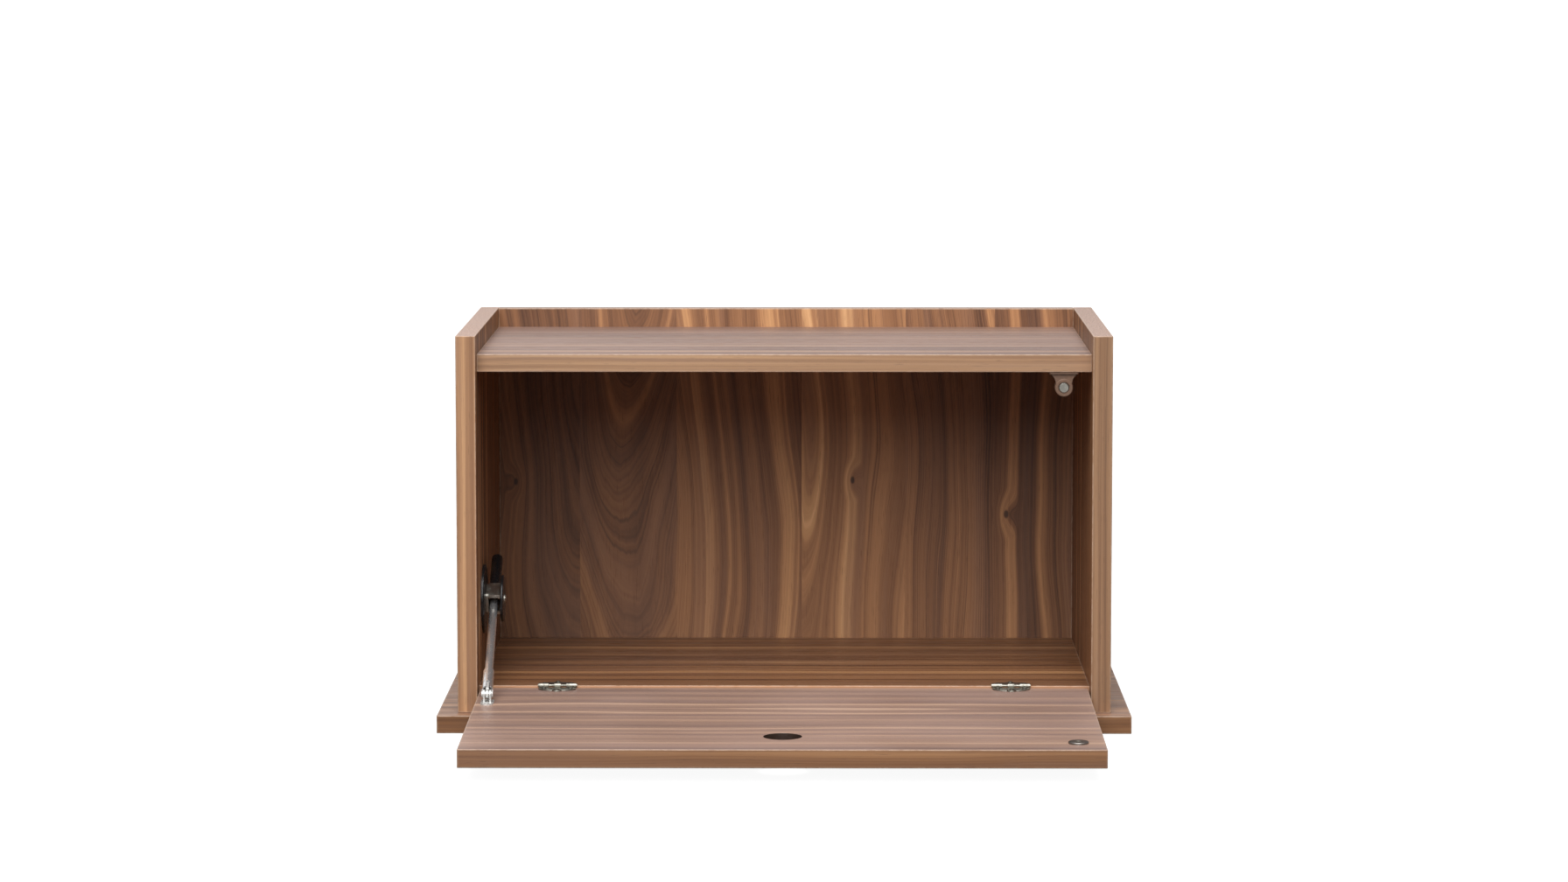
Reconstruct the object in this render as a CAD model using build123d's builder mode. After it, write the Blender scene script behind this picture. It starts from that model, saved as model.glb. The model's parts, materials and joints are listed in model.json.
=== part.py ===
"""Low walnut storage box on a base plate, with a drop-down flap on two surface hinges,
a braking lid stay on the left and a magnet catch on the right.

The origin is the centre of the base plate's underside: X runs to the right, Y to the back
and Z up. The box is drawn at rest with its flap open."""

from build123d import *
from math import cos, hypot, radians, sin, sqrt
import os

os.makedirs("parts", exist_ok=True)

# ---------------------------------------------------------------- driving dimensions (mm)
base_width = 700
base_depth = 400
total_height = 400
board = 18  # base, top, floor, back and flap
side_board = 20  # the two side panels
overhang = 20  # base plate beyond the box at the front, left and right
rim = 20  # the sides and back stand this far above the top panel
floor_gap = 6  # empty space between the base plate and the floor panel
edge_round = 0.8  # eased edges of the veneered boards

flap_recess = 1  # the closed flap lies this far behind the front of the sides
flap_side_gap = 2
flap_top_gap = 1  # between the closed flap and the top panel's front edge
droop = 1  # degrees that the open flap hangs below level

hinge_x = 230  # left and right of the middle
hinge_width = 38
leaf_reach = 22  # from the pin to the tip of a leaf
leaf = 1.2  # plate thickness
leaf_bevel = 0.4
barrel_r = 2.5
hinge_pin_r = 1.2
gap = 0.3  # air between pieces that move past each other
running = 0.05  # radial clearance of a pin in its hole
held = 0.02  # radial clearance of a pin that is held fast

finger_hole_r = 18.5
finger_hole_inset = 70  # from the flap's free edge to the hole's middle

magnet_x = 282
magnet_drop = 16  # magnet's middle below the top panel
magnet_r = 9
strike_r = 9.75
strike = 2  # thickness

stay_x = -295.5  # foot pivot
arm_lean = 1.1  # degrees by which the arm leans outwards from foot to tail
foot_reach = 88  # hinge pin to foot pivot, along the flap
foot_height = 9.4  # foot pivot above the flap
swivel_y = -83
swivel_z = 121
arm_rise = 23.24  # degrees above level with the flap open
arm_length = 262
rod_r = 4.25
tube_r = 5.5
base_disc_r = 35.5
cover_disc_r = 24
swivel_pin_r = 4
swivel_pin_depth = 9.5  # into the side panel

# ---------------------------------------------------------------- derived places
inner_x = base_width / 2 - overhang - side_board
front = overhang - base_depth / 2
back = base_depth / 2
back_face = back - board
top_z = total_height - rim
floor_z = board + floor_gap + board
inner_drop = barrel_r + gap  # hinge axis to the flap's inner face
axis_y = front + flap_recess + board + inner_drop
axis_z = floor_z + leaf / 2
floor_front = axis_y + barrel_r + gap
top_front = front + flap_recess + board + flap_top_gap
flap_heel = 1.5  # the flap starts this far behind the hinge axis
flap_free = top_z - axis_z  # from the hinge axis to the free edge

# The flap's own plane: origin on the hinge axis, local Y from the free edge to the hinge,
# local Z out of the inner face.
flap_up = (0, -sin(radians(droop)), cos(radians(droop)))
flap_plane = Plane(origin=(0, axis_y, axis_z), x_dir=(1, 0, 0), z_dir=flap_up)
flap_face = flap_plane.offset(-inner_drop)

# The arm's own plane: origin on the foot pivot, local Z along the arm to its tail,
# local X to the right across the arm.
foot_pivot = flap_plane.from_local_coords(Vector(stay_x, -foot_reach, foot_height - inner_drop))
arm_dir = Vector(
    -sin(radians(arm_lean)),
    cos(radians(arm_lean)) * cos(radians(arm_rise)),
    cos(radians(arm_lean)) * sin(radians(arm_rise)),
)
arm_plane = Plane(origin=foot_pivot, x_dir=(1, 0, 0), z_dir=arm_dir)

# The swivel's plane looks out of the left side panel, with local X along the arm.
swivel_plane = Plane(
    origin=(-inner_x, swivel_y, swivel_z),
    x_dir=(0, cos(radians(arm_rise)), sin(radians(arm_rise))),
    z_dir=(1, 0, 0),
)


def save(piece, name, color):
    """Label one finished piece and write it as its own STEP file."""
    piece.label = name
    piece.color = Color(*color)
    export_step(piece, f"parts/{name}.step")


walnut = (0.42, 0.28, 0.20)
beech = (0.80, 0.66, 0.46)
steel = (0.70, 0.70, 0.68)
black = (0.04, 0.04, 0.04)

# ---------------------------------------------------------------- shared fastener layout
screw_r = 1.5
screw_clear = 0.05
plate_hole_r = 1.6  # screw holes through the fittings
pilot = 13  # depth of the holes for the small screws
small_screw = dict(shank_r=screw_r, head_r=2.6, head=1.2)
dowel_r = 4
dowel_length = 32
dowel_in_side = 12
shelf_dowel_y = [-120, 10, 140]
back_dowel_z = [70, 160, 250, 335]
shelf_mid_z = [top_z - board / 2, floor_z - board / 2]
dowel_spots = [(y, z) for z in shelf_mid_z for y in shelf_dowel_y]
dowel_spots += [(back - board / 2, z) for z in back_dowel_z]

base_screw_x = inner_x + side_board / 2
base_screws_at = [(side * base_screw_x, y) for side in (-1, 1) for y in (-140, 60, 170)]
base_screws_at += [(x, back - board / 2) for x in (-180, 0, 180)]
base_screw_r = 2.3
base_screw_length = 50
base_head_r = 4.6
base_head = 2.8
base_sink_r = 5.2  # countersinks in the underside
base_head_in = 0.3  # the heads lie this far inside the underside

leaf_screws_at = [(-13.5, 8), (13.5, 8), (0, 17)]  # across the hinge, away from its pin
floor_screws_at = [
    (side * hinge_x + x, axis_y + y) for side in (-1, 1) for x, y in leaf_screws_at
]
flap_screws_at = [(side * hinge_x + x, -y) for side in (-1, 1) for x, y in leaf_screws_at]

foot_screws_at = [(stay_x, -foot_reach - 9), (stay_x, -foot_reach + 9)]
strike_reach = top_z - board - magnet_drop - axis_z
disc_screw_ring = 27
magnet_screw_x = 11
magnet_front = front + flap_recess + board + strike + gap
magnet_depth = 22
magnet_screw_y = magnet_front + magnet_depth / 2


def raised_screw(shank_r, head_r, head, length):
    """Round-headed cross-slot screw at each current location, head above, shank below."""
    Cylinder(shank_r, length, align=(Align.CENTER, Align.CENTER, Align.MAX))
    Cylinder(head_r, head / 2, align=(Align.CENTER, Align.CENTER, Align.MIN))
    with Locations((0, 0, head / 2)):
        Cone(head_r, 0.6 * head_r, head / 2, align=(Align.CENTER, Align.CENTER, Align.MIN))
        for turn in (0, 90):
            slot = (1.1 * head_r, 0.22 * head_r, head)
            Box(*slot, rotation=(0, 0, turn), align=(Align.CENTER, Align.CENTER, Align.MIN),
                mode=Mode.SUBTRACT)


def flush_screw(shank_r, head_r, head, length):
    """Countersunk cross-slot screw at each current location, head flush at the top."""
    Cylinder(shank_r, length, align=(Align.CENTER, Align.CENTER, Align.MAX))
    Cone(shank_r, head_r, head, align=(Align.CENTER, Align.CENTER, Align.MAX))
    for turn in (0, 90):
        slot = (1.1 * head_r, 0.2 * head_r, 0.6 * head)
        Box(*slot, rotation=(0, 0, turn), align=(Align.CENTER, Align.CENTER, Align.MAX),
            mode=Mode.SUBTRACT)


# ---------------------------------------------------------------- base plate
with BuildPart() as base_plate:
    with BuildSketch():
        Rectangle(base_width, base_depth)
    extrude(amount=board)
    fillet(base_plate.edges(), edge_round)
    with Locations(*[Plane((x, y, 0), z_dir=(0, 0, -1)) for x, y in base_screws_at]):
        CounterSinkHole(base_screw_r + screw_clear, base_sink_r, board)
save(base_plate.part, "base_plate", walnut)

with BuildPart() as base_screws:
    with Locations(*[Plane((x, y, base_head_in), z_dir=(0, 0, -1)) for x, y in base_screws_at]):
        flush_screw(base_screw_r, base_head_r, base_head, base_screw_length)
save(base_screws.part, "base_screws", steel)

# ---------------------------------------------------------------- carcass
for side, side_name in ((-1, "left"), (1, "right")):
    with BuildPart() as side_panel:
        with BuildSketch(Plane.XY.offset(board)):
            with Locations((side * (inner_x + side_board / 2), (front + back) / 2)):
                Rectangle(side_board, back - front)
        extrude(amount=total_height - board)
        fillet(side_panel.edges(), edge_round)
        with BuildSketch(Plane.YZ.offset(side * inner_x)):
            with Locations(*dowel_spots):
                Circle(dowel_r + screw_clear)
        extrude(amount=side * (dowel_in_side + gap), mode=Mode.SUBTRACT)
        with BuildSketch(Plane.XY.offset(board)):
            with Locations(*[(x, y) for x, y in base_screws_at if x * side > inner_x]):
                Circle(base_screw_r + screw_clear)
        extrude(amount=base_screw_length - board + 1, mode=Mode.SUBTRACT)
        if side < 0:
            with Locations(swivel_plane):
                Hole(swivel_pin_r + screw_clear, depth=swivel_pin_depth + 0.5)
                with PolarLocations(disc_screw_ring, 3):
                    Hole(screw_r + screw_clear, depth=pilot)
    save(side_panel.part, f"{side_name}_side_panel", walnut)

with BuildPart() as back_panel:
    with BuildSketch(Plane.XY.offset(board)):
        with Locations((0, back - board / 2)):
            Rectangle(2 * inner_x, board)
    extrude(amount=total_height - board)
    fillet(back_panel.edges(), edge_round)
    with BuildSketch(Plane.YZ.offset(-inner_x)):
        with Locations(*[(back - board / 2, z) for z in back_dowel_z]):
            Circle(dowel_r + screw_clear)
    extrude(amount=dowel_length - dowel_in_side + gap, mode=Mode.SUBTRACT)
    with BuildSketch(Plane.YZ.offset(inner_x)):
        with Locations(*[(back - board / 2, z) for z in back_dowel_z]):
            Circle(dowel_r + screw_clear)
    extrude(amount=-(dowel_length - dowel_in_side + gap), mode=Mode.SUBTRACT)
    with BuildSketch(Plane.XY.offset(board)):
        with Locations(*[(x, y) for x, y in base_screws_at if abs(x) < inner_x]):
            Circle(base_screw_r + screw_clear)
    extrude(amount=base_screw_length - board + 1, mode=Mode.SUBTRACT)
save(back_panel.part, "back_panel", walnut)


def shelf(upper_z, front_y, screw_plane, screws):
    """One horizontal board between the sides, with its dowel holes and screw pilots."""
    with BuildPart() as panel:
        with BuildSketch(Plane.XY.offset(upper_z - board)):
            with Locations((0, (front_y + back_face) / 2)):
                Rectangle(2 * inner_x, back_face - front_y)
        extrude(amount=board)
        fillet(panel.edges(), edge_round)
        for end in (-1, 1):
            with BuildSketch(Plane.YZ.offset(end * inner_x)):
                with Locations(*[(y, upper_z - board / 2) for y in shelf_dowel_y]):
                    Circle(dowel_r + screw_clear)
            extrude(amount=-end * (dowel_length - dowel_in_side + gap), mode=Mode.SUBTRACT)
        with BuildSketch(screw_plane):
            with Locations(*screws):
                Circle(screw_r + screw_clear)
        extrude(amount=-pilot, mode=Mode.SUBTRACT)
    return panel.part


magnet_pilots = [(magnet_x + s * magnet_screw_x, -magnet_screw_y) for s in (-1, 1)]
under_top = Plane((0, 0, top_z - board), x_dir=(1, 0, 0), z_dir=(0, 0, -1))
save(shelf(top_z, top_front, under_top, magnet_pilots), "top_panel", walnut)
save(shelf(floor_z, floor_front, Plane.XY.offset(floor_z), floor_screws_at), "floor_panel", walnut)

with BuildPart() as panel_dowels:
    for side in (-1, 1):
        with BuildSketch(Plane.YZ.offset(side * (inner_x + dowel_in_side))):
            with Locations(*dowel_spots):
                Circle(dowel_r)
        extrude(amount=-side * dowel_length)
save(panel_dowels.part, "panel_dowels", beech)

# ---------------------------------------------------------------- flap
flap_width = 2 * (inner_x - flap_side_gap)
with BuildPart() as flap_panel:
    with BuildSketch(flap_face):
        with Locations((0, (flap_heel - flap_free) / 2)):
            Rectangle(flap_width, flap_free + flap_heel)
    extrude(amount=-board)
    fillet(flap_panel.edges(), edge_round)
    with BuildSketch(flap_face):
        with Locations((0, finger_hole_inset - flap_free)):
            Circle(finger_hole_r)
    extrude(amount=-board, mode=Mode.SUBTRACT)
    fillet(flap_panel.edges().filter_by(GeomType.CIRCLE).filter_by(
        lambda e: abs(e.radius - finger_hole_r) < 0.01), edge_round)
    with BuildSketch(flap_face):
        with Locations(*flap_screws_at, *foot_screws_at, (magnet_x, -strike_reach)):
            Circle(screw_r + screw_clear)
    extrude(amount=-pilot, mode=Mode.SUBTRACT)
save(flap_panel.part, "flap_panel", walnut)


# ---------------------------------------------------------------- butterfly hinges
def leaf_outline(x, toward):
    """Winged outline of one leaf, from its barrel edge out to its rounded tip."""
    root = inner_drop
    shoulder = 9
    wing = 17.5
    neck = 18.5
    tip_half = 5
    half = hinge_width / 2
    with BuildSketch(mode=Mode.PRIVATE) as outline:
        with BuildLine():
            Line((x - half, toward * root), (x + half, toward * root))
            Line((x + half, toward * root), (x + half, toward * shoulder))
            ThreePointArc((x + half, toward * shoulder), (x + half / 2, toward * wing),
                          (x + tip_half, toward * neck))
            ThreePointArc((x + tip_half, toward * neck), (x, toward * leaf_reach),
                          (x - tip_half, toward * neck))
            ThreePointArc((x - tip_half, toward * neck), (x - half / 2, toward * wing),
                          (x - half, toward * shoulder))
            Line((x - half, toward * shoulder), (x - half, toward * root))
        make_face()
    return outline.sketch


outer_knuckle = 10  # length of each floor-leaf knuckle
inner_knuckle = 6.4  # length of the flap leaf's middle knuckle
pin_head = 0.8  # the hinge pin's peened ends
pin_head_r = 1.9


def barrel_plane(x):
    """Plane across the hinge axis at one X."""
    return Plane((x, axis_y, axis_z), x_dir=(0, 1, 0), z_dir=(1, 0, 0))


for side, side_name in ((-1, "left"), (1, "right")):
    x = side * hinge_x
    with BuildPart() as floor_leaf:
        with BuildSketch(Plane((0, axis_y, floor_z))):
            add(leaf_outline(x, 1))
            with Locations(*[(x + sx, sy) for sx, sy in leaf_screws_at]):
                Circle(plate_hole_r, mode=Mode.SUBTRACT)
        extrude(amount=leaf)
        chamfer(floor_leaf.faces().sort_by(Axis.Z)[-1].outer_wire().edges(), leaf_bevel)
        for start in (-hinge_width / 2, hinge_width / 2 - outer_knuckle):
            with BuildSketch(Plane((x + start, axis_y, floor_z))):
                Rectangle(outer_knuckle, inner_drop + 1, align=(Align.MIN, Align.MIN))
            extrude(amount=leaf)
            with BuildSketch(barrel_plane(x + start)):
                Circle(barrel_r)
            extrude(amount=outer_knuckle)
        with BuildSketch(barrel_plane(x - hinge_width / 2)):
            Circle(hinge_pin_r + held)
        extrude(amount=hinge_width, mode=Mode.SUBTRACT)
    save(floor_leaf.part, f"{side_name}_hinge_floor_leaf", steel)

    with BuildPart() as flap_leaf:
        with BuildSketch(flap_face):
            add(leaf_outline(x, -1))
            with Locations((x, 0)):
                Rectangle(inner_knuckle, inner_drop + 1, align=(Align.CENTER, Align.MAX))
            with Locations(*[(x + sx, -sy) for sx, sy in leaf_screws_at]):
                Circle(plate_hole_r, mode=Mode.SUBTRACT)
        extrude(amount=leaf)
        chamfer(flap_leaf.faces().sort_by(Axis.Z)[-1].outer_wire().edges(), leaf_bevel)
        with BuildSketch(barrel_plane(x - inner_knuckle / 2)):
            Circle(barrel_r)
        extrude(amount=inner_knuckle)
        with BuildSketch(barrel_plane(x - inner_knuckle / 2)):
            Circle(hinge_pin_r + running)
        extrude(amount=inner_knuckle, mode=Mode.SUBTRACT)
    save(flap_leaf.part, f"{side_name}_hinge_flap_leaf", steel)

    with BuildPart() as hinge_pin:
        with BuildSketch(barrel_plane(x - hinge_width / 2)):
            Circle(hinge_pin_r)
        extrude(amount=hinge_width)
        for end in (-1, 1):
            with BuildSketch(barrel_plane(x + end * hinge_width / 2)):
                Circle(pin_head_r)
            extrude(amount=end * pin_head)
    save(hinge_pin.part, f"{side_name}_hinge_pin", steel)

with BuildPart() as hinge_floor_screws:
    with Locations(*[(x, y, floor_z + leaf) for x, y in floor_screws_at]):
        raised_screw(length=12, **small_screw)
save(hinge_floor_screws.part, "hinge_floor_screws", steel)

with BuildPart(flap_face.offset(leaf)) as hinge_flap_screws:
    with Locations(*flap_screws_at):
        raised_screw(length=12, **small_screw)
save(hinge_flap_screws.part, "hinge_flap_screws", steel)

# ---------------------------------------------------------------- magnet catch
magnet_z = top_z - board - magnet_drop
catch_front = Plane((magnet_x, magnet_front, magnet_z), x_dir=(1, 0, 0), z_dir=(0, -1, 0))
catch_half = 15  # half the width of the plate under the top panel
catch_plate = 2
core_r = 5
socket_r = 5.3
socket_depth = 18
mouth_r = 6.2  # shallow ring round the core at the barrel's front
web_setback = 2.5  # the web starts this far behind the barrel's front
web_low = 4  # height at which the web meets the barrel
web_top = magnet_drop - catch_plate
web_bow = 1.4  # how far the web's hollow sides stand off the barrel
bow_height = 0.66 * web_top
magnet_bevel = 0.7
driver_r = 3.4  # access bore below each screw
waist = sqrt(magnet_r**2 - web_low**2)
with BuildPart() as magnet_housing:
    with BuildSketch(catch_front):
        Circle(magnet_r)
    extrude(amount=-magnet_depth)
    chamfer(magnet_housing.edges().group_by(Axis.Y)[0], magnet_bevel)
    with BuildSketch(catch_front.offset(-web_setback)):
        with BuildLine():
            ThreePointArc((waist, web_low), (waist + web_bow, bow_height),
                          (catch_half - 1, web_top))
            Line((catch_half - 1, web_top), (1 - catch_half, web_top))
            ThreePointArc((1 - catch_half, web_top), (-waist - web_bow, bow_height),
                          (-waist, web_low))
            Line((-waist, web_low), (waist, web_low))
        make_face()
    extrude(amount=web_setback - magnet_depth)
    with BuildSketch(Plane.XY.offset(top_z - board)):
        with Locations((magnet_x, magnet_screw_y)):
            RectangleRounded(2 * catch_half, magnet_depth, 2)
    extrude(amount=-catch_plate)
    with BuildSketch(catch_front):
        Circle(socket_r)
    extrude(amount=-socket_depth, mode=Mode.SUBTRACT)
    with BuildSketch(catch_front):
        Circle(mouth_r)
    extrude(amount=-1, mode=Mode.SUBTRACT)
    with Locations(*[Plane((magnet_x + s * magnet_screw_x, magnet_screw_y, magnet_z),
                           z_dir=(0, 0, -1)) for s in (-1, 1)]):
        Cylinder(driver_r, 2 * web_top, mode=Mode.SUBTRACT)
        Cylinder(plate_hole_r, 2 * magnet_drop + 2, mode=Mode.SUBTRACT)
save(magnet_housing.part, "magnet_housing", (0.30, 0.19, 0.13))

with BuildPart() as magnet_core:
    with BuildSketch(catch_front.offset(-gap)):
        Circle(core_r)
    extrude(amount=-(socket_depth - 1))
    chamfer(magnet_core.edges().group_by(Axis.Y)[0], 0.5)
save(magnet_core.part, "magnet_core", steel)

with BuildPart(under_top.offset(catch_plate)) as magnet_screws:
    with Locations(*magnet_pilots):
        raised_screw(length=13, **small_screw)
save(magnet_screws.part, "magnet_screws", steel)

strike_face = flap_face.offset(strike)
strike_head_r = 3
strike_sink_r = 3.2
with BuildPart() as strike_plate:
    with BuildSketch(flap_face):
        with Locations((magnet_x, -strike_reach)):
            Circle(strike_r)
    extrude(amount=strike)
    chamfer(strike_plate.edges().group_by(Axis.Z)[-1], 0.5)
    with Locations(strike_face * Pos(magnet_x, -strike_reach, 0)):
        CounterSinkHole(plate_hole_r, strike_sink_r, strike)
save(strike_plate.part, "strike_plate", steel)

with BuildPart(strike_face.offset(-0.1)) as strike_screw:
    with Locations((magnet_x, -strike_reach)):
        flush_screw(screw_r, strike_head_r, 1.5, 14)
save(strike_screw.part, "strike_screw", steel)

# ---------------------------------------------------------------- lid stay: cabinet side
disc = 3
disc_recess = 1.4
disc_recess_r = 3
disc_head_r = 2.8
disc_round = 1.5
with BuildPart() as stay_base_disc:
    with BuildSketch(swivel_plane):
        Circle(base_disc_r)
        Circle(swivel_pin_r + screw_clear, mode=Mode.SUBTRACT)
        with PolarLocations(disc_screw_ring, 3):
            Circle(plate_hole_r, mode=Mode.SUBTRACT)
    extrude(amount=disc)
    fillet(stay_base_disc.edges().filter_by(
        lambda e: e.geom_type == GeomType.CIRCLE and e.radius > 30).sort_by(Axis.X)[-1], disc_round)
    with Locations(swivel_plane.offset(disc)):
        with PolarLocations(disc_screw_ring, 3):
            Cylinder(disc_recess_r, 2 * disc_recess, mode=Mode.SUBTRACT)
save(stay_base_disc.part, "stay_base_disc", black)

with BuildPart(swivel_plane.offset(disc - 0.2)) as stay_base_screws:
    with PolarLocations(disc_screw_ring, 3):
        flush_screw(screw_r, disc_head_r, 1.2, 14)
save(stay_base_screws.part, "stay_base_screws", steel)

plate = 2.8
plate_low = disc + gap
plate_high = plate_low + plate
head = 1
head_r = 5.5
head_top = plate_high - 0.2  # the head lies just below the plate's face
with BuildPart(swivel_plane) as stay_swivel_pin:
    with Locations((0, 0, head_top)):
        Cylinder(swivel_pin_r, swivel_pin_depth + head_top,
                 align=(Align.CENTER, Align.CENTER, Align.MAX))
        Cylinder(head_r, head, align=(Align.CENTER, Align.CENTER, Align.MAX))
save(stay_swivel_pin.part, "stay_swivel_pin", steel)

# ---------------------------------------------------------------- lid stay: swivel body
channel_half = 7.9  # arm radius, plus the arm's drift across the swivel, plus air
block = 3.6
guide_half = 12  # along the arm
cover_low = 18.6
cover = 3
cover_round = 1.2
brake_screw_r = 2
brake_head_r = 4.5
with BuildPart() as stay_guide:
    with BuildSketch(swivel_plane.offset(plate_low)):
        RectangleRounded(2 * guide_half, 2 * (channel_half + block), 3)
    extrude(amount=plate)
    with BuildSketch(swivel_plane.offset(plate_high)):
        with Locations((0, channel_half + block / 2), (0, -channel_half - block / 2)):
            Rectangle(2 * guide_half, block)
    extrude(amount=cover_low - plate_high)
    with Locations(swivel_plane.offset(plate_high)):
        Cylinder(swivel_pin_r + running, 4 * plate, mode=Mode.SUBTRACT)
        Cylinder(head_r + gap, 2 * (plate_high - head_top + head + gap), mode=Mode.SUBTRACT)
save(stay_guide.part, "stay_guide", steel)

with BuildPart() as stay_cover_disc:
    with BuildSketch(swivel_plane.offset(cover_low)):
        Circle(cover_disc_r)
        Circle(brake_screw_r + 0.1, mode=Mode.SUBTRACT)
    extrude(amount=cover)
    fillet(stay_cover_disc.edges().filter_by(
        lambda e: e.geom_type == GeomType.CIRCLE and e.radius > 20), cover_round)
save(stay_cover_disc.part, "stay_cover_disc", black)

with BuildPart(swivel_plane.offset(cover_low + cover)) as stay_brake_screw:
    raised_screw(shank_r=brake_screw_r, head_r=brake_head_r, head=2, length=cover)
save(stay_brake_screw.part, "stay_brake_screw", steel)

# ---------------------------------------------------------------- lid stay: arm
tube_start = 7
tube_end = 42
rod_start = 22
rod_bevel = 0.6
tube_bevel = 0.8
swivel_reach = hypot(swivel_y - foot_pivot.Y, swivel_z - foot_pivot.Z)
sleeve_start = swivel_reach + guide_half + 1.0
with BuildPart() as stay_arm_rod:
    with BuildSketch(arm_plane.offset(rod_start)):
        Circle(rod_r)
    extrude(amount=arm_length - rod_start)
    chamfer(stay_arm_rod.edges(), rod_bevel)
save(stay_arm_rod.part, "stay_arm_rod", steel)

tongue = 2.8
tongue_height = 7.2
tongue_end_r = 4.4
slot_width = 3.6
slot_end = 17  # where the slot in the tube ends, from the foot pivot
tongue_plane = Plane(origin=foot_pivot, x_dir=arm_dir.cross(Vector(1, 0, 0)).cross(Vector(-1, 0, 0)),
                     z_dir=(1, 0, 0))
slot_plane = Plane(origin=foot_pivot, x_dir=tongue_plane.x_dir, z_dir=tongue_plane.y_dir)
with BuildPart() as stay_arm_tube:
    with BuildSketch(arm_plane.offset(tube_start)):
        Circle(tube_r)
        Circle(rod_r + screw_clear, mode=Mode.SUBTRACT)
    extrude(amount=tube_end - tube_start)
    rims = stay_arm_tube.edges().filter_by(GeomType.CIRCLE)
    chamfer(rims.filter_by(lambda rim: rim.radius > rod_r + 0.5).sort_by(Axis.Y)[-1], tube_bevel)
    with BuildSketch(slot_plane):
        with Locations((slot_end / 2, 0)):
            SlotOverall(slot_end, slot_width)
    extrude(amount=2 * tube_r, both=True, mode=Mode.SUBTRACT)
save(stay_arm_tube.part, "stay_arm_tube", steel)

foot_pin_r = 2
with BuildPart() as stay_arm_tongue:
    with BuildSketch(tongue_plane.offset(-tongue / 2)):
        Circle(tongue_end_r)
        Rectangle(rod_start - 1, tongue_height, align=(Align.MIN, Align.CENTER))
        with Locations((tube_start - 3, 0)):
            Rectangle(slot_end - tube_start + 1, 2 * tube_r - 1, align=(Align.MIN, Align.CENTER))
        Circle(foot_pin_r + running, mode=Mode.SUBTRACT)
    extrude(amount=tongue)
save(stay_arm_tongue.part, "stay_arm_tongue", steel)

sleeve_r = 5.8
sleeve_tail = 3
sleeve_round = 1.2
with BuildPart() as stay_sleeve:
    with BuildSketch(arm_plane.offset(sleeve_start)):
        Circle(sleeve_r)
    extrude(amount=arm_length + sleeve_tail - sleeve_start)
    fillet(stay_sleeve.edges(), sleeve_round)
    with BuildSketch(arm_plane.offset(sleeve_start)):
        Circle(rod_r + screw_clear)
    extrude(amount=arm_length + gap - sleeve_start, mode=Mode.SUBTRACT)
save(stay_sleeve.part, "stay_sleeve", black)

# ---------------------------------------------------------------- lid stay: foot on the flap
foot_width = 13
foot_length = 27
foot_plate = 1.6
ear = 1.8
ear_r = 4.5
ear_low = 2.2  # from the middle of the foot to the inner side of an ear
with BuildPart() as stay_foot:
    with BuildSketch(flap_face):
        with Locations((stay_x, -foot_reach)):
            RectangleRounded(foot_width, foot_length, 5)
        with Locations(*foot_screws_at):
            Circle(plate_hole_r, mode=Mode.SUBTRACT)
    extrude(amount=foot_plate)
    for x in (-ear_low - ear, ear_low):
        ear_plane = Plane(origin=foot_pivot + Vector(x, 0, 0), x_dir=flap_plane.y_dir,
                          z_dir=(1, 0, 0))
        with BuildSketch(ear_plane):
            Circle(ear_r)
            Rectangle(2 * ear_r, foot_height - foot_plate / 2,
                      align=(Align.CENTER, Align.MAX))
            Circle(foot_pin_r + held, mode=Mode.SUBTRACT)
        extrude(amount=ear)
save(stay_foot.part, "stay_foot", steel)

pin_half = ear_low + ear + 0.05
rivet_r = 3.1
rivet_head = 1.6
with BuildPart() as stay_foot_pin:
    with BuildSketch(Plane(origin=foot_pivot - Vector(pin_half, 0, 0), z_dir=(1, 0, 0))):
        Circle(foot_pin_r)
    extrude(amount=2 * pin_half)
    for end in (-1, 1):
        head_plane = Plane(origin=foot_pivot + Vector(end * pin_half, 0, 0), z_dir=(end, 0, 0))
        with BuildSketch(head_plane):
            Circle(rivet_r)
        extrude(amount=rivet_head)
save(stay_foot_pin.part, "stay_foot_pin", steel)

with BuildPart(flap_face.offset(foot_plate)) as stay_foot_screws:
    with Locations(*foot_screws_at):
        raised_screw(length=13, **small_screw)
save(stay_foot_screws.part, "stay_foot_screws", steel)
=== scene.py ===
"""Looks for the walnut storage unit with a drop-down flap.

Every board is veneered in figured walnut: a virtual log is sliced leaf by leaf, so the grain
runs in cathedrals and ribbons along each board, with pores, mineral streaks and small knots."""

import json
from math import cos, radians, sin

import bpy
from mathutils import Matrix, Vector


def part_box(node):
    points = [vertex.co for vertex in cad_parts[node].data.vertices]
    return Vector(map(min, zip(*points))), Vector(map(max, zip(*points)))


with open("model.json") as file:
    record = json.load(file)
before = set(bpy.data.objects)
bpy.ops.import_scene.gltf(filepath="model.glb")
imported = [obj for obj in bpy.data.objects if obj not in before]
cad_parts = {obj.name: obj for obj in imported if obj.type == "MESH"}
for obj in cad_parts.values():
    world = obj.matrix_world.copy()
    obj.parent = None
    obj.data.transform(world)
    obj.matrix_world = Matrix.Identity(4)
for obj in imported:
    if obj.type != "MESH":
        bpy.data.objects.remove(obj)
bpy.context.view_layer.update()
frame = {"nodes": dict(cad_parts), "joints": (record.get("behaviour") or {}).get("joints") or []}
nodes = frame["nodes"]

DROOP = 1.0  # degrees that the open flap hangs below level
HOLE_INSET = 0.070  # from the flap's free edge to the finger hole's middle
HOLE_RADIUS = 0.0185
WHITE = (1.0, 1.0, 1.0, 1.0)


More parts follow.
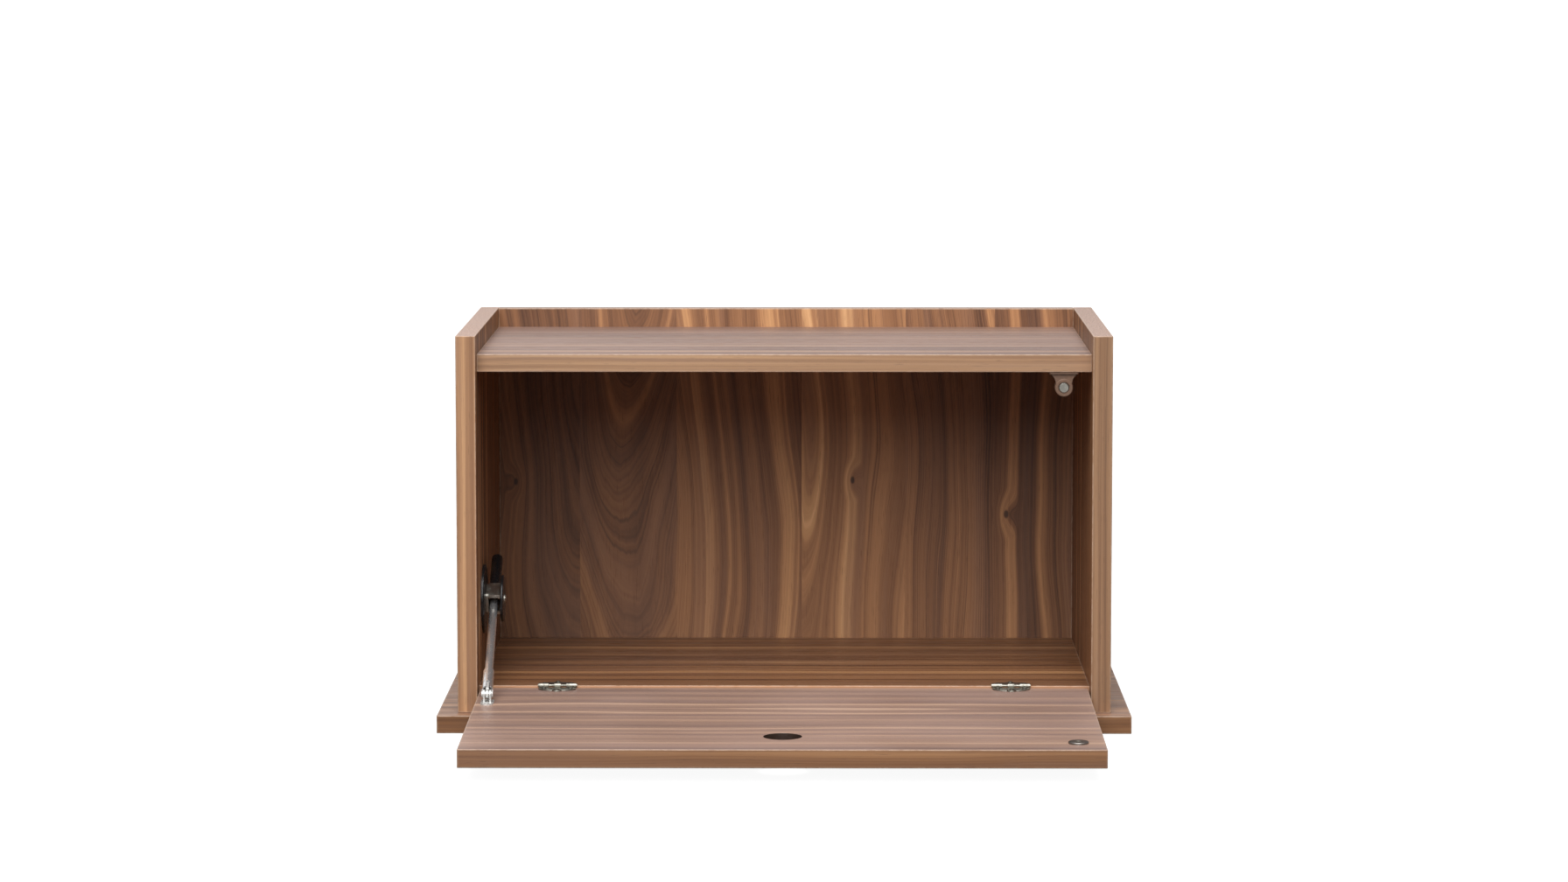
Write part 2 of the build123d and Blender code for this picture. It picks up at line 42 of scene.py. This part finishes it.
# ------------------------------------------------------------------ shader helpers
class Graph:
    """A material's node tree, with short calls for the nodes that the looks need."""

    def __init__(self, name):
        self.material = bpy.data.materials.new(name)
        self.material.use_nodes = True
        self.tree = self.material.node_tree
        self.tree.nodes.clear()
        self.out = self.tree.nodes.new("ShaderNodeOutputMaterial")
        self.bsdf = self.tree.nodes.new("ShaderNodeBsdfPrincipled")
        self.tree.links.new(self.bsdf.outputs[0], self.out.inputs[0])

    def put(self, socket, value):
        """Link a node's output, or set a constant, on one input socket."""
        if isinstance(value, bpy.types.NodeSocket):
            self.tree.links.new(value, socket)
        elif value is not None:
            socket.default_value = value

    def node(self, kind, **settings):
        new = self.tree.nodes.new(kind)
        for key, value in settings.items():
            setattr(new, key, value)
        return new

    def math(self, operation, a, b=None, c=None):
        new = self.node("ShaderNodeMath", operation=operation)
        for socket, value in zip(new.inputs, (a, b, c)):
            self.put(socket, value)
        return new.outputs[0]

    def times(self, a, b):
        return self.math("MULTIPLY", a, b)

    def hypot(self, a, b):
        return self.math("SQRT", self.math("ADD", self.times(a, a), self.times(b, b)))

    def sway(self, noise, amount, base):
        """The base value, moved up and down by a noise that swings about a half."""
        return self.math("MULTIPLY_ADD", self.math("SUBTRACT", noise, 0.5), amount, base)

    def vector(self, x, y, z):
        new = self.node("ShaderNodeCombineXYZ")
        for socket, value in zip(new.inputs, (x, y, z)):
            self.put(socket, value)
        return new.outputs[0]

    def split(self, vector):
        new = self.node("ShaderNodeSeparateXYZ")
        self.put(new.inputs[0], vector)
        return new.outputs

    def noise(self, where, scale, detail=2.0, rough=0.5, line=False):
        """Noise value in space, or along a line when line is true."""
        new = self.node("ShaderNodeTexNoise", noise_dimensions="1D" if line else "3D")
        self.put(new.inputs["W" if line else "Vector"], where)
        new.inputs["Scale"].default_value = scale
        new.inputs["Detail"].default_value = detail
        new.inputs["Roughness"].default_value = rough
        return new.outputs[0]

    def random(self, seed):
        new = self.node("ShaderNodeTexWhiteNoise", noise_dimensions="1D")
        self.put(new.inputs["W"], seed)
        return new.outputs[0]

    def span(self, value, low, high, to_low=0.0, to_high=1.0, smooth=True):
        """Map low..high to to_low..to_high, clamped."""
        kind = "SMOOTHSTEP" if smooth else "LINEAR"
        new = self.node("ShaderNodeMapRange", interpolation_type=kind, clamp=True)
        for socket, item in zip(new.inputs, (value, low, high, to_low, to_high)):
            self.put(socket, item)
        return new.outputs[0]

    def ramp(self, factor, stops):
        new = self.node("ShaderNodeValToRGB")
        self.put(new.inputs[0], factor)
        elements = new.color_ramp.elements
        while len(elements) < len(stops):
            elements.new(0.5)
        for element, (at, color) in zip(elements, stops):
            element.position = at
            element.color = (*color, 1.0)
        return new.outputs[0]

    def mix(self, factor, a, b, blend="MIX"):
        new = self.node("ShaderNodeMix", data_type="RGBA", blend_type=blend)
        self.put(new.inputs[0], factor)
        for socket, value in ((new.inputs[6], a), (new.inputs[7], b)):
            self.put(socket, (*value, 1.0) if isinstance(value, tuple) else value)
        return new.outputs[2]

    def bump(self, height, strength, distance):
        new = self.node("ShaderNodeBump")
        new.inputs["Strength"].default_value = strength
        new.inputs["Distance"].default_value = distance
        self.put(new.inputs["Height"], height)
        self.put(self.bsdf.inputs["Normal"], new.outputs[0])

    def set(self, **values):
        """Link or set the main shader's inputs by short names."""
        names = {"color": "Base Color", "metal": "Metallic", "rough": "Roughness",
                 "specular": "Specular IOR Level"}
        for key, value in values.items():
            item = (*value, 1.0) if isinstance(value, tuple) else value
            self.put(self.bsdf.inputs[names[key]], item)


# ------------------------------------------------------------------ walnut veneer
WALNUT = [
    (0.00, (0.085, 0.040, 0.024)),
    (0.22, (0.190, 0.096, 0.054)),
    (0.42, (0.300, 0.162, 0.090)),
    (0.60, (0.400, 0.226, 0.126)),
    (0.80, (0.540, 0.330, 0.186)),
    (1.00, (0.690, 0.460, 0.280)),
]
LATE_WOOD = (0.075, 0.040, 0.026)
MINERAL = (0.235, 0.140, 0.108)  # purplish-grey streaks
KNOT_EYE = (0.030, 0.015, 0.010)
SHEEN_PAINT = (0.60, 0.415, 0.345)  # painted sheen: pale reflection of the bright surround on the satin varnish
RUB_AND_HIGHLIGHT = (0.66, 0.49, 0.37)  # eased edges: wear together with a painted highlight where they catch the light
HOLE_WALL_SHADE = (0.045, 0.026, 0.018)  # painted shade on the wall of the finger hole
END_GRAIN = [(0.34, (0.16, 0.095, 0.068)), (0.50, (0.37, 0.245, 0.190)), (0.68, (0.56, 0.41, 0.33))]

# The virtual log, in metres.
STRAY = 0.050  # how far a leaf's heart strays from its line
BEND = 0.026
RIPPLE = 0.0030
LEAF_STEP = 0.37  # neighbouring leaves come from rings this far apart
BAND_SCALE = 46.0  # bands of colour in a metre of rings
LINE_SCALE = 250.0
HAIR_SCALE = 1100.0
MEAN_TONE = 0.45
# Width of the lighter line on eased edges: rubbing together with a painted highlight.
RUB_AND_HIGHLIGHT_WIDTH = 0.0017


def median(g, a, b, c):
    """Middle one of three values: how near a point of a box's skin is to an edge."""
    low = g.math("MINIMUM", a, b)
    high = g.math("MAXIMUM", a, b)
    return g.math("MAXIMUM", low, g.math("MINIMUM", high, c))


def even_leaves(g, wide, deep, seed, leaf, figure):
    """Leaves of one width, each cut from a random place in the log."""
    slid = g.math("ADD", wide, g.times(g.math("ADD", deep, seed * 0.37), 1.9))
    leaves = g.math("DIVIDE", slid, leaf)
    index = g.math("FLOOR", leaves)
    inside = g.times(g.math("SUBTRACT", g.math("FRACT", leaves), 0.5), leaf)
    pick = [g.random(g.math("ADD", index, seed + 10.7 * k)) for k in range(4)]
    heart = g.sway(pick[0], leaf * 0.9, 0.0)
    return {
        "index": index,
        "aside": g.math("SUBTRACT", inside, heart),
        "slope": g.sway(pick[1], 0.26 * figure, 0.0),
        "centre": g.sway(pick[2], 0.6, 0.0),
        "ribs": g.times(pick[3], 0.8),
        "tone": g.sway(pick[3], 0.12, 0.0),
    }


def chosen_leaves(g, wide, leaves):
    """Leaves of uneven width: each row gives where it starts and how it was cut."""
    picked = {"index": 0.0}
    keys = ("heart", "centre", "slope", "ribs", "tone")
    for key in keys:
        picked[key] = leaves[0][key]
    for before, leaf in zip(leaves, leaves[1:]):
        past = g.math("GREATER_THAN", wide, leaf["start"])
        picked["index"] = g.math("ADD", picked["index"], past)
        for key in keys:
            picked[key] = g.math("MULTIPLY_ADD", past, leaf[key] - before[key], picked[key])
    picked["aside"] = g.math("SUBTRACT", wide, picked["heart"])
    return picked


def growth_rings(g, along, wide, cut, seed, figure, wave):
    """Rings of a virtual log: nested ellipses about each leaf's heart, bent by noise."""
    index = cut["index"]
    wander = g.noise(g.vector(g.times(along, 3.0), index, seed), 1.0, 1.0)
    bend = g.noise(g.vector(g.times(wide, 12.0), g.times(along, 3.6), index), 1.0, 1.0)
    ripple = g.noise(g.vector(g.times(wide, 70.0), g.times(along, 9.0), seed), 1.0)
    aside = g.sway(wander, STRAY * wave, cut["aside"])
    depth = g.times(g.math("SUBTRACT", along, cut["centre"]), cut["slope"])
    ring = g.sway(bend, BEND * figure, g.hypot(aside, depth))
    ring = g.sway(ripple, RIPPLE, ring)
    return g.math("MULTIPLY_ADD", index, LEAF_STEP, ring)


def round_knots(g, along, wide, ring, knots):
    """Push the rings aside round each knot, and say where the knots' dark eyes are."""
    eyes = 0.0
    for knot_across, knot_along, radius in knots:
        off = g.math("SUBTRACT", wide, knot_across)
        up = g.times(g.math("SUBTRACT", along, knot_along), 0.55)
        far = g.hypot(off, up)
        ring = g.math("MULTIPLY_ADD", g.span(far, radius * 5, 0.0), radius * 3.2, ring)
        eyes = g.math("MAXIMUM", eyes, g.span(far, radius, radius * 0.4))
    return ring, eyes


def wood_tone(g, broad, hair, cloud, along, wide, ring, cut, contrast):
    """Lightness from the broad bands, the growth lines, the fine late-wood lines and streaks."""
    lines = g.noise(ring, LINE_SCALE, 2.0, 0.6, line=True)
    drawn = g.noise(g.vector(g.times(along, 1.3), g.times(wide, 34.0), cut["index"]), 1.0, 3.0, 0.6)
    tone = g.span(broad, 0.27, 0.75, 0.10, 0.72, smooth=False)
    tone = g.math("MULTIPLY_ADD", g.span(broad, 0.58, 0.68), 0.22, tone)
    tone = g.sway(drawn, 0.50, tone)
    tone = g.sway(lines, 0.50, tone)
    tone = g.sway(hair, g.math("MULTIPLY_ADD", cut["ribs"], 0.45, 0.16), tone)
    tone = g.sway(cloud, 0.42, tone)
    tone = g.math("MULTIPLY_ADD", g.math("SUBTRACT", tone, MEAN_TONE), contrast, MEAN_TONE)
    return g.math("ADD", tone, cut["tone"])


def edge_strips(g, tone, on_edge, along, deep, wide):
    """The narrow edges are strips of straighter veneer, with fine streaks."""
    streaks = g.noise(g.vector(g.times(along, 2.0), g.times(deep, 260.0), g.times(wide, 260.0)),
                      1.0, 2.0, 0.55)
    strip = g.sway(streaks, 0.55, g.sway(tone, 0.32, 0.5))
    return g.math("MULTIPLY_ADD", g.math("SUBTRACT", strip, tone), on_edge, tone)


def figured(g, color, broad, cloud, along, ring, seed):
    """Dark contour lines that follow the rings, and mineral streaks drawn out along the grain."""
    contour = g.math("ABSOLUTE", g.math("SUBTRACT", broad, 0.475))
    dark_line = g.times(g.span(contour, 0.016, 0.0), g.span(cloud, 0.36, 0.56))
    color = g.mix(g.times(dark_line, 0.55), color, LATE_WOOD)
    streak = g.noise(g.vector(g.times(along, 1.6), g.times(ring, 34.0), seed), 1.0, 3.0, 0.55)
    return g.mix(g.span(streak, 0.46, 0.66, 0.0, 0.40), color, MINERAL)


def end_grain(g, color, place, on_end, tint):
    """The short ends show as small speckles."""
    speckled = g.ramp(g.noise(place, 620.0, 2.0, 0.6), END_GRAIN)
    speckled = g.mix(1.0, speckled, tint, "MULTIPLY")
    return g.mix(g.times(on_end, 0.85), color, speckled)


def rubbed_and_highlit_edges(g, color, place, axes, box):
    """Eased edges are rubbed lighter, more in some places than in others; the same light line is a
    painted highlight on the edge.
    """
    low, high = box
    near = []
    for axis in range(3):
        low_side = g.math("SUBTRACT", axes[axis], low[axis])
        high_side = g.math("SUBTRACT", high[axis], axes[axis])
        near.append(g.math("MINIMUM", low_side, high_side))
    rub_and_glint_patches = g.span(g.noise(place, 130.0, 3.0, 0.6), 0.30, 0.62, 0.35, 1.0)
    rub_and_highlight = g.times(g.span(median(g, *near), RUB_AND_HIGHLIGHT_WIDTH, 0.0003), rub_and_glint_patches)
    return g.mix(g.times(rub_and_highlight, 0.55), color, RUB_AND_HIGHLIGHT)


def shaded_hole_wall(g, color, axes, on_edge, hole):
    """A round hole's wall is painted dark: painted shade inside the hole."""
    x, y, radius = hole
    reach = g.hypot(g.math("SUBTRACT", axes[0], x), g.math("SUBTRACT", axes[1], y))
    hole_shade = g.times(g.span(reach, radius + 0.0007, radius + 0.0002), on_edge)
    return g.mix(hole_shade, color, HOLE_WALL_SHADE)


def walnut(name, box, grain, across, seed, face_tint_and_light=(1, 1, 1), edge_tint_and_light=(1, 1, 1), end=(1, 1, 1),
           sheen_paint_amount=0.0, leaf=0.105, leaves=None, knots=(), figure=1.0, wave=1.0, contrast=1.0,
           tilt=0.0, pivot=(0, 0, 0), hole=None):
    """Veneered board. grain and across are 0, 1 or 2 for X, Y or Z. The three tints multiply the
    colour of its broad faces, its long edges and its ends; the first two also paint in light and
    shade board by board, as painted highlight or painted shade. knots are (across, grain, radius).
    tilt turns the board's own axes about X at pivot, and hole is a round hole's (X, Y, radius)."""
    g = Graph(name)
    coords = g.node("ShaderNodeTexCoord")
    place = coords.outputs["Object"]
    if tilt:
        turn = g.node("ShaderNodeVectorRotate", rotation_type="X_AXIS")
        turn.inputs["Angle"].default_value = radians(-tilt)
        turn.inputs["Center"].default_value = pivot
        g.put(turn.inputs["Vector"], place)
        place = turn.outputs[0]
    axes = g.split(place)
    facing = g.split(coords.outputs["Normal"])
    thick = 3 - grain - across
    along = axes[grain]
    wide = axes[across]
    deep = axes[thick]
    on_edge = g.span(g.math("ABSOLUTE", facing[thick]), 0.75, 0.45)
    on_end = g.span(g.math("ABSOLUTE", facing[grain]), 0.45, 0.75)

    cut = chosen_leaves(g, wide, leaves) if leaves else even_leaves(g, wide, deep, seed, leaf, figure)
    ring = growth_rings(g, along, wide, cut, seed, figure, wave)
    ring, eyes = round_knots(g, along, wide, ring, knots)
    broad = g.noise(ring, BAND_SCALE, 2.0, 0.55, line=True)
    hair = g.noise(ring, HAIR_SCALE, 1.0, 0.5, line=True)
    cloud = g.noise(g.vector(g.times(wide, 7.0), g.times(along, 2.2), seed), 1.0)
    tone = wood_tone(g, broad, hair, cloud, along, wide, ring, cut, contrast)
    tone = edge_strips(g, tone, on_edge, along, deep, wide)
    color = figured(g, g.ramp(tone, WALNUT), broad, cloud, along, ring, seed)

    # Pores: short dark dashes along the grain.
    dashes = [g.times(axes[k], 48.0 if k == grain else 1150.0) for k in range(3)]
    pores = g.noise(g.vector(*dashes), 1.0, 2.0, 0.55)
    pore = g.span(pores, 0.60, 0.72)
    color = g.mix(g.times(pore, 0.34), color, LATE_WOOD)
    if knots:
        color = g.mix(g.times(eyes, 0.85), color, KNOT_EYE)

    # Painted sheen: the broad faces carry a pale reflection of the bright surround, patchy along the
    # grain.
    sheen_patches = g.span(g.noise(place, 7.0, 1.0), 0.30, 0.70, 0.65, 1.0)
    sheen_patches = g.times(sheen_patches, g.math("SUBTRACT", 1.0, on_edge))
    color = g.mix(g.times(sheen_patches, sheen_paint_amount), color, SHEEN_PAINT)
    # Tints per board: veneer tone together with painted light and shade on its faces and edges.
    color = g.mix(1.0, color, g.mix(on_edge, face_tint_and_light, edge_tint_and_light), "MULTIPLY")
    color = end_grain(g, color, place, on_end, end)
    # Eased edges: real rubbing plus a painted highlight line.
    color = rubbed_and_highlit_edges(g, color, place, axes, box)
    # Painted shade on the finger hole's wall.
    if hole:
        color = shaded_hole_wall(g, color, axes, on_edge, hole)

    rough = g.sway(cloud, 0.12, g.span(pores, 0.35, 0.75, 0.36, 0.60))
    g.set(color=color, rough=rough, specular=0.5)
    g.bump(g.math("MULTIPLY_ADD", pore, -1.0, g.times(hair, 0.35)), 0.35, 0.00012)
    return g.material


# ------------------------------------------------------------------ metals and plastics
def metal(name, color, rough, grime, scratch_axis=0, mottle=0.10, metallic=1.0):
    """Plated metal with faint scratches, mottled plating and dull patches."""
    g = Graph(name)
    place = g.node("ShaderNodeTexCoord").outputs["Object"]
    axes = g.split(place)
    stretch = [g.times(axes[k], 90.0 if k == scratch_axis else 2600.0) for k in range(3)]
    scratches = g.noise(g.vector(*stretch), 1.0, 2.0, 0.6)
    dull = g.span(g.noise(place, 210.0), 0.42, 0.68)
    tint = g.mix(g.times(dull, grime), color, tuple(c * 0.45 for c in color))
    tint = g.mix(g.span(scratches, 0.55, 0.75, 0.0, 0.25), tint, tuple(c * 0.7 for c in color))
    rougher = g.math("MULTIPLY_ADD", dull, mottle, rough)
    rougher = g.math("MULTIPLY_ADD", scratches, 0.06, rougher)
    g.set(color=tint, metal=metallic, rough=rougher)
    g.bump(scratches, 0.10, 0.00004)
    return g.material


def plastic(name, color, rough, wear=0.25):
    """Moulded plastic with a fine spark-eroded grain and slightly polished patches."""
    g = Graph(name)
    place = g.node("ShaderNodeTexCoord").outputs["Object"]
    grainy = g.noise(place, 3200.0)
    polished = g.span(g.noise(place, 85.0, 3.0, 0.6), 0.50, 0.72)
    tint = g.mix(g.times(polished, wear), color, tuple(min(1.0, c * 1.7) for c in color))
    g.set(color=tint, rough=g.math("MULTIPLY_ADD", polished, -0.12, rough), specular=0.5)
    g.bump(grainy, 0.30, 0.00006)
    return g.material


def dowel_wood(name):
    """Pale beech with straight fibres."""
    g = Graph(name)
    place = g.node("ShaderNodeTexCoord").outputs["Object"]
    axes = g.split(place)
    stretch = g.vector(g.times(axes[0], 60.0), g.times(axes[1], 900.0), g.times(axes[2], 900.0))
    fibres = g.noise(stretch, 1.0, 3.0, 0.6)
    color = g.ramp(fibres, [(0.3, (0.42, 0.27, 0.14)), (0.7, (0.66, 0.47, 0.28))])
    g.set(color=color, rough=0.7)
    g.bump(fibres, 0.3, 0.0001)
    return g.material


def dress(names, material):
    """Give CAD nodes one material."""
    for name in names:
        mesh = nodes[name].data
        mesh.materials.clear()
        mesh.materials.append(material)


# ------------------------------------------------------------------ boards
X, Y, Z = 0, 1, 2
# Each board's face and edge tints set its veneer tone and also paint in light and shade: brighter
# tints paint light on lit faces and edges, darker ones paint shade.
side_look = dict(grain=Z, across=Y, leaf=0.12, figure=0.35, wave=0.35, face_tint_and_light=(0.98, 0.84, 0.68),
                 end=(1.4, 1.4, 1.45))
# The left side's edge tint is brighter than the right's: painted light on its front edge.
dress(["left_side_panel"], walnut("walnut_left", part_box("left_side_panel"), seed=3.0,
                                  edge_tint_and_light=(1.42, 1.38, 1.28), **side_look))
dress(["right_side_panel"], walnut("walnut_right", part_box("right_side_panel"), seed=7.0,
                                   edge_tint_and_light=(0.98, 0.97, 0.94), **side_look))

# The back's six leaves from left to right, in metres from the middle and from the ground.
back_leaves = [
    dict(start=-0.350, heart=-0.215, centre=0.75, slope=0.10, ribs=0.1, tone=-0.20),
    dict(start=-0.223, heart=-0.168, centre=0.62, slope=0.15, ribs=0.2, tone=-0.18),
    dict(start=-0.118, heart=-0.190, centre=0.05, slope=0.16, ribs=0.4, tone=0.00),
    dict(start=0.017, heart=0.020, centre=0.30, slope=0.10, ribs=0.2, tone=0.12),
    dict(start=0.129, heart=0.330, centre=0.10, slope=0.06, ribs=1.0, tone=-0.06),
    dict(start=0.225, heart=0.150, centre=0.20, slope=0.12, ribs=0.5, tone=-0.16),
]
back_knots = [(-0.292, 0.212, 0.003), (0.072, 0.214, 0.003), (0.238, 0.177, 0.0035)]
dress(["back_panel"], walnut("walnut_back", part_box("back_panel"), Z, X, 12.0, leaves=back_leaves,
                             knots=back_knots, contrast=0.72, face_tint_and_light=(1.12, 0.95, 0.74),
                             edge_tint_and_light=(1.1, 1.05, 1.0)))
# The sheen amounts on the top, base and flap paint a pale reflection on their broad faces.
dress(["top_panel"], walnut("walnut_top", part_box("top_panel"), X, Y, 21.0, figure=0.35, wave=0.4,
                            sheen_paint_amount=0.32, face_tint_and_light=(0.82, 0.79, 0.83), edge_tint_and_light=(1.37, 1.45, 1.46)))
# The floor's bright edge tint paints light on its narrow front edge; the base's dark edge tint paints
# shade on its front.
dress(["floor_panel"], walnut("walnut_floor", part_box("floor_panel"), X, Y, 33.0, figure=0.35,
                              wave=0.4, face_tint_and_light=(1.02, 0.86, 0.67), edge_tint_and_light=(1.9, 1.8, 1.7)))
dress(["base_plate"], walnut("walnut_base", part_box("base_plate"), X, Y, 45.0, figure=0.35, wave=0.4,
                             sheen_paint_amount=0.3, face_tint_and_light=(0.98, 0.87, 0.76), edge_tint_and_light=(0.80, 0.66, 0.51)))

# The flap hangs a degree below level, so its box is measured in its own turned axes.
hinge = Vector(frame["joints"][0]["pos_m"])
level = cos(radians(DROOP))
fall = sin(radians(DROOP))
turned = []
for vertex in nodes["flap_panel"].data.vertices:
    y = vertex.co.y - hinge.y
    z = vertex.co.z - hinge.z
    turned.append((vertex.co.x, hinge.y + y * level + z * fall, hinge.z - y * fall + z * level))
flap_box = (Vector([min(p[k] for p in turned) for k in range(3)]),
            Vector([max(p[k] for p in turned) for k in range(3)]))
finger_hole = (0.0, flap_box[0].y + HOLE_INSET, HOLE_RADIUS)
# The flap's pale, pinkish face tint is painted sheen as well as veneer tone.
dress(["flap_panel"], walnut("walnut_flap", flap_box, X, Y, 58.0, figure=0.60, wave=0.4, sheen_paint_amount=0.36,
                             face_tint_and_light=(1.09, 1.14, 1.24), edge_tint_and_light=(1.12, 1.0, 0.86), tilt=DROOP,
                             pivot=tuple(hinge), hole=finger_hole))

# ------------------------------------------------------------------ fittings
nickel = metal("nickel", (0.37, 0.355, 0.31), 0.32, 0.60)
zinc = metal("zinc", (0.58, 0.56, 0.50), 0.32, 0.55, mottle=0.18)
silver = metal("silver", (0.76, 0.76, 0.74), 0.30, 0.50, mottle=0.18, metallic=0.60)
chrome = metal("chrome", (0.90, 0.89, 0.89), 0.15, 0.12, scratch_axis=1, metallic=0.85)
strike_steel = metal("strike_steel", (0.30, 0.28, 0.26), 0.36, 0.35)
black = plastic("black_plastic", (0.010, 0.010, 0.011), 0.30)
brown = plastic("brown_plastic", (0.185, 0.108, 0.072), 0.42, wear=0.35)
dress([name for name in nodes if "hinge" in name], nickel)
dress(["stay_arm_rod", "stay_arm_tube"], chrome)
dress(["stay_guide", "stay_swivel_pin", "stay_brake_screw", "stay_base_screws", "magnet_screws",
       "base_screws", "strike_screw", "magnet_core"], zinc)
dress(["stay_arm_tongue", "stay_foot", "stay_foot_pin", "stay_foot_screws"], silver)
dress(["strike_plate"], strike_steel)
dress(["stay_base_disc", "stay_cover_disc", "stay_sleeve"], black)
dress(["magnet_housing"], brown)
dress(["panel_dowels"], dowel_wood("beech"))


# ------------------------------------------------------------------ studio
def square(name, half, at):
    """Flat square of twice the half width, at a place."""
    mesh = bpy.data.meshes.new(name)
    corners = [(-half, -half, 0), (half, -half, 0), (half, half, 0), (-half, half, 0)]
    mesh.from_pydata(corners, [], [(0, 1, 2, 3)])
    piece = bpy.data.objects.new(name, mesh)
    piece.location = at
    bpy.context.scene.collection.objects.link(piece)
    return piece


def split_by_ray(tree, output, seen, other):
    """One shader for what the camera sees directly, another for the light it gives."""
    path = tree.nodes.new("ShaderNodeLightPath")
    choose = tree.nodes.new("ShaderNodeMixShader")
    tree.links.new(path.outputs["Is Camera Ray"], choose.inputs[0])
    tree.links.new(other.outputs[0], choose.inputs[1])
    tree.links.new(seen.outputs[0], choose.inputs[2])
    tree.links.new(choose.outputs[0], output.inputs[0])


# A pale floor that looks lit to the camera and throws little light up into the box.
floor = square("studio_floor", 60, (0, 40, 0))
pale = Graph("pale_floor")
spot = pale.noise(pale.node("ShaderNodeTexCoord").outputs["Object"], 3.0)
pale.set(color=pale.ramp(spot, [(0.3, (0.28, 0.28, 0.28)), (0.7, (0.30, 0.30, 0.30))]), rough=0.9,
         specular=0.0)
pale.bsdf.inputs["Emission Color"].default_value = WHITE
pale.bsdf.inputs["Emission Strength"].default_value = 0.94
dim = pale.node("ShaderNodeBsdfDiffuse")
dim.inputs["Color"].default_value = (0.06, 0.06, 0.06, 1.0)
split_by_ray(pale.tree, pale.out, pale.bsdf, dim)
floor.data.materials.append(pale.material)


def sun(name, azimuth, elevation, strength, spread):
    """Large soft light: azimuth 0 shines from the front, positive from the left."""
    light = bpy.data.lights.new(name, "SUN")
    light.energy = strength
    light.angle = radians(spread)
    lamp = bpy.data.objects.new(name, light)
    reach = cos(radians(elevation))
    toward = Vector((reach * sin(radians(azimuth)), reach * cos(radians(azimuth)),
                     -sin(radians(elevation))))
    lamp.rotation_euler = toward.to_track_quat("-Z", "Y").to_euler()
    bpy.context.scene.collection.objects.link(lamp)


def softbox(name, at, aim, width, height, watts):
    """Rectangular soft light at a place, facing a point."""
    light = bpy.data.lights.new(name, "AREA")
    light.shape = "RECTANGLE"
    light.size = width
    light.size_y = height
    light.energy = watts
    lamp = bpy.data.objects.new(name, light)
    lamp.location = at
    lamp.rotation_euler = (Vector(aim) - Vector(at)).to_track_quat("-Z", "Y").to_euler()
    bpy.context.scene.collection.objects.link(lamp)


softbox("key_softbox", (-0.06, -0.95, 1.70), (-0.05, -0.25, 0.15), 1.7, 0.8, 16.0)
sun("front_wall", 6, 31, 1.65, 40)
sun("overhead_silk", -5, 74, 0.8, 60)
sun("rear_wall", 165, 30, 0.36, 50)

# The air round the object gives dim light, and the camera sees it white.
world = bpy.data.worlds.new("studio_air")
bpy.context.scene.world = world
world.use_nodes = True
air = world.node_tree
air.nodes.clear()
surround = air.nodes.new("ShaderNodeBackground")
surround.inputs[0].default_value = WHITE
surround.inputs[1].default_value = 0.24
backdrop = air.nodes.new("ShaderNodeBackground")
backdrop.inputs[0].default_value = WHITE
split_by_ray(air, air.nodes.new("ShaderNodeOutputWorld"), backdrop, surround)
bpy.context.scene.view_settings.view_transform = "Standard"

# ------------------------------------------------------------------ camera
view = bpy.data.cameras.new("camera")
view.sensor_width = 36.0
view.lens = 110.9
camera = bpy.data.objects.new("camera", view)
camera.location = (0.0275, -5.007, 0.8004)
look = Vector((-0.00571, 1.0, -0.10484))
camera.rotation_euler = look.to_track_quat("-Z", "Y").to_euler()
bpy.context.scene.collection.objects.link(camera)
bpy.context.scene.camera = camera

# ------------------------------------------------------------------ scene update
bpy.context.view_layer.update()
